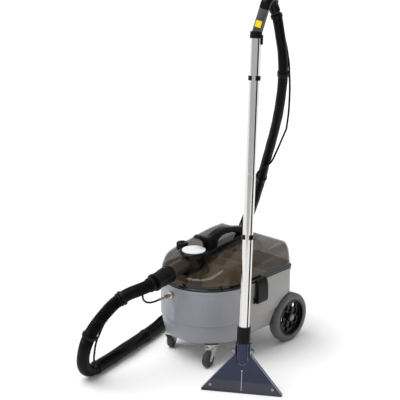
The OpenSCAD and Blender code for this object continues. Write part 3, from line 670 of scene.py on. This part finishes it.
EDGES = {
    "solution_tank": 0.7, "tank_gasket": 0.6, "recovery_bucket": 1.0, "motor_housing": 1.2, "vacuum_motor": 1.0,
    "armature": 0.5, "fan_impeller": 0.4, "fan_housing": 0.8, "solution_pump": 1.5, "coupling_socket": 0.5,
    "coupling_plug": 0.5, "rear_panel": 1.5, "vacuum_switch": 0.8, "pump_switch": 0.8, "cable_gland": 0.8,
    "axle": 0.5, "tyre_left": 1.2, "tyre_right": 1.2, "hub_left": 1.0, "hub_right": 1.0, "hub_cap_left": 0.8,
    "hub_cap_right": 0.8, "castor_plates": 0.8, "castor_fork_left": 0.6, "castor_fork_right": 0.6,
    "castor_wheel_left": 0.8, "castor_wheel_right": 0.8, "latch_brackets": 0.8, "latch_left": 2.2,
    "latch_right": 2.2, "intake_tower": 1.2, "badge_disc": 0.8, "lid_duct": 3.0, "inlet_pipe": 0.8,
    "inlet_cuff": 1.5, "valve_neck": 0.8, "bleed_knob": 1.0, "float_cage": 0.5, "nozzle_front": 0.7,
    "nozzle_back": 0.7, "nozzle_neck": 0.6, "nozzle_screws": 0.5, "spray_bar": 0.6, "neck_collar": 1.0,
    "lower_pipe": 0.4, "upper_pipe": 0.4, "pipe_clips": 0.8, "wand_tube": 0.3, "valve_body": 1.0,
    "spray_button": 1.6, "hand_grip": 1.2, "float_ball": 0.2,
}
CAP_STEEL = metal("cap_steel", (0.22, 0.22, 0.23), 0.25)
OWN_FINISH = {
    "float_cage": FINISHES["black_plastic"],
    "nozzle_screws": metal("bolt_steel", (0.30, 0.30, 0.31), 0.3),
    "intake_tower": smoked("tower_smoked", (0.006, 0.0045, 0.004), 0.94, 0.12),
    "hub_cap_left": CAP_STEEL,
    "hub_cap_right": CAP_STEEL,
}
for node, edge in EDGES.items():
    machined(node, OWN_FINISH.get(node, FINISHES[SLOT_OF[node]]), edge)
moulded("carry_handle", FINISHES["black_plastic"], 1.5, 14)
moulded("hand_elbow", FINISHES["black_plastic"], 1.5, 10)
moulded("pump_hose", FINISHES["hose_rubber"], 1.5, 8)
moulded("hose_joiner", FINISHES["black_plastic"], 1.5, 8)


# ---- small details ------------------------------------------------------------


def wand_points(rows):
    """Points given along the nozzle's width, towards its back and up the wand, placed where the wand
    stands."""
    u, y, w = np.array(rows, float).T
    lean, turn = math.radians(10), math.radians(30)
    back, up = y * math.cos(lean) + w * math.sin(lean), w * math.cos(lean) - y * math.sin(lean)
    return np.stack([322 + u * math.cos(turn) - back * math.sin(turn),
                     -200 + u * math.sin(turn) + back * math.cos(turn), up], 1) * MM


def nozzle_beads():
    """Round beads along the nozzle's sloping edges and a thin rib up the middle of its front: tubes along
    lines."""
    clear = plastic("blue_bead", (0.16, 0.18, 0.24), 0.12, depth=0.01, Specular_IOR_Level=0.8)
    pale = plastic("nozzle_rib", (0.45, 0.47, 0.52), 0.3, depth=0.01)
    slopes = []
    for side in (-1, 1):
        rows = [(side * (134.5 - 108.5 * t), -8.8, 8 + 127 * t) for t in np.linspace(0, 1, 24)]
        slopes.append(skin(f"bead_{side + 1}", tube(wand_points(rows), 1.7 * MM, 16)))
    show(join("nozzle_beads", *slopes), "nozzle_beads", clear, "wand")
    across = np.sin(np.linspace(-1, 1, 33) * math.pi / 2)
    loop = [(17 * a, -9.4, 118 - 22 * math.sqrt(max(1 - a * a, 0))) for a in across]
    loop = [(-17, -9.4, 170 - 4 * k) for k in range(13)] + loop + [(17, -9.4, 118 + 4 * k) for k in range(14)]
    insert = skin("neck_loop", tube(wand_points(loop), 1.1 * MM, 12))
    sides = []
    for side in (-1, 1):
        rows = [(side * 26.6, -8.6, w) for w in np.linspace(134, 170, 12)]
        sides.append(skin(f"neck_side_{side + 1}", tube(wand_points(rows), 1.7 * MM, 12)))
    show(join("nozzle_neck_edges", insert, *sides), "nozzle_neck_edges", clear, "wand")
    rib = skin("rib_line", tube(wand_points([(0, -9.0, w) for w in np.linspace(8, 71, 20)]), 1.0 * MM, 12))
    dot = skin("rib_dot", turned([(0.01, 0), (2.6, 0), (2.6, 1.2), (2.0, 1.8), (0.01, 1.8)],
                                 wand_points([(0, -8.8, 76)])[0] / MM, (0.492, -0.853, 0.174), 24))
    show(join("nozzle_rib", rib, dot), "nozzle_rib", pale, "wand")


def inlet_point(along):
    """A point on the inlet's axis, that many mm out from the tower's."""
    tilt = math.radians(8)
    return (0, -81 - along * math.cos(tilt), 362.8 - along * math.sin(tilt))


def cuff_rings():
    """Raised bands round the inlet's cuff, in one piece."""
    axis = np.subtract(inlet_point(1), inlet_point(0))
    rings = []
    for at, wide, high in ((124, 7, 31.2), (146, 4, 30.6), (153, 4, 30.6), (160, 4, 30.6), (196, 9, 31.0)):
        shape = eased_corners([(27, 0), (high, 0), (high, wide), (27, wide)], 1.0, 4)
        rings.append(skin(f"cuff_ring_{at}", turned(shape, inlet_point(at), axis, 72), ends="closed"))
    show(join("cuff_rings", *rings), "cuff_rings", FINISHES["black_plastic"], "lid")


def grip_ring():
    """A collar round the pipe under the valve."""
    foot, top = wand_points([(0, 0, 1183), (0, 0, 1200)]) / MM
    shape = eased_corners([(17.2, 0), (20.8, 0), (20.8, 9.8), (17.2, 9.8)], 1.2, 4)
    show(skin("grip_foot_ring", turned(shape, foot, top - foot, 72)), "grip_foot_ring", FINISHES["black_plastic"],
         "wand")


nozzle_beads()
cuff_rings()
grip_ring()


# ---- studio -----------------------------------------------------------------


def set_floor():
    """A plain pale floor, a little mottled."""
    f = Finish("floor_white", Roughness=0.75, Specular_IOR_Level=0.2)
    f.put(Base_Color=f.mix(f.noise(2, 3), (0.90, 0.90, 0.90), (0.93, 0.93, 0.93)))
    mesh = bpy.data.meshes.new("floor")
    corners = [(x * FLOOR_HALF, y * FLOOR_HALF, FLOOR_Z) for x, y in ((-1, -1), (1, -1), (1, 1), (-1, 1))]
    mesh.from_pydata(corners, [], [(0, 1, 2, 3)])
    mesh.materials.append(f.material)
    floor = bpy.data.objects.new("floor", mesh)
    bpy.context.scene.collection.objects.link(floor)


def softbox(name, place, size, power):
    """A rectangular light turned to the machine."""
    light = bpy.data.lights.new(name, "AREA")
    light.shape = "RECTANGLE"
    light.size, light.size_y = size
    light.energy = power
    aim(bpy.data.objects.new(name, light), place, (0, 0, 0.4))


def dark_flag(name, place, facing, size):
    """An upright black card that only shows in reflections, for the chrome's dark streak."""
    f = Finish(name, Roughness=0.9, Specular_IOR_Level=0.1)
    f.put(Base_Color=f.mix(f.noise(3, 2), (0.02, 0.02, 0.02), (0.035, 0.035, 0.035)))
    half, up = unit(np.cross((0, 0, 1), facing)) * size[0] / 2, np.array([0, 0, size[1]])
    base = np.array(place, float)
    mesh = bpy.data.meshes.new(name)
    mesh.from_pydata([base - half, base + half, base + half + up, base - half + up], [], [(0, 1, 2, 3)])
    mesh.materials.append(f.material)
    card = bpy.data.objects.new(name, mesh)
    bpy.context.scene.collection.objects.link(card)
    card.visible_camera = card.visible_diffuse = card.visible_shadow = card.visible_transmission = False


def set_light():
    """A pale room, a large soft sun high on the front left, a light behind and a card for the chrome."""
    world = bpy.data.worlds.new("room")
    world.use_nodes = True
    bpy.context.scene.world = world
    room = world.node_tree.nodes["Background"]
    room.inputs["Color"].default_value = (0.88, 0.88, 0.88, 1)
    room.inputs["Strength"].default_value = 0.62
    sun = bpy.data.lights.new("sun", "SUN")
    sun.energy = 2.5
    sun.angle = math.radians(50)
    aim(bpy.data.objects.new("sun", sun), (-1.2, -1.6, 4.2), (0, 0, 0.2))
    softbox("back", (0.5, 3.0, 2.8), (2.5, 1.2), 16)
    dark_flag("card_right", (0.98, 0.14, 0), (-0.92, -0.38, 0), (0.50, 1.6))


set_floor()
set_light()
bpy.context.scene.view_settings.view_transform = "Standard"
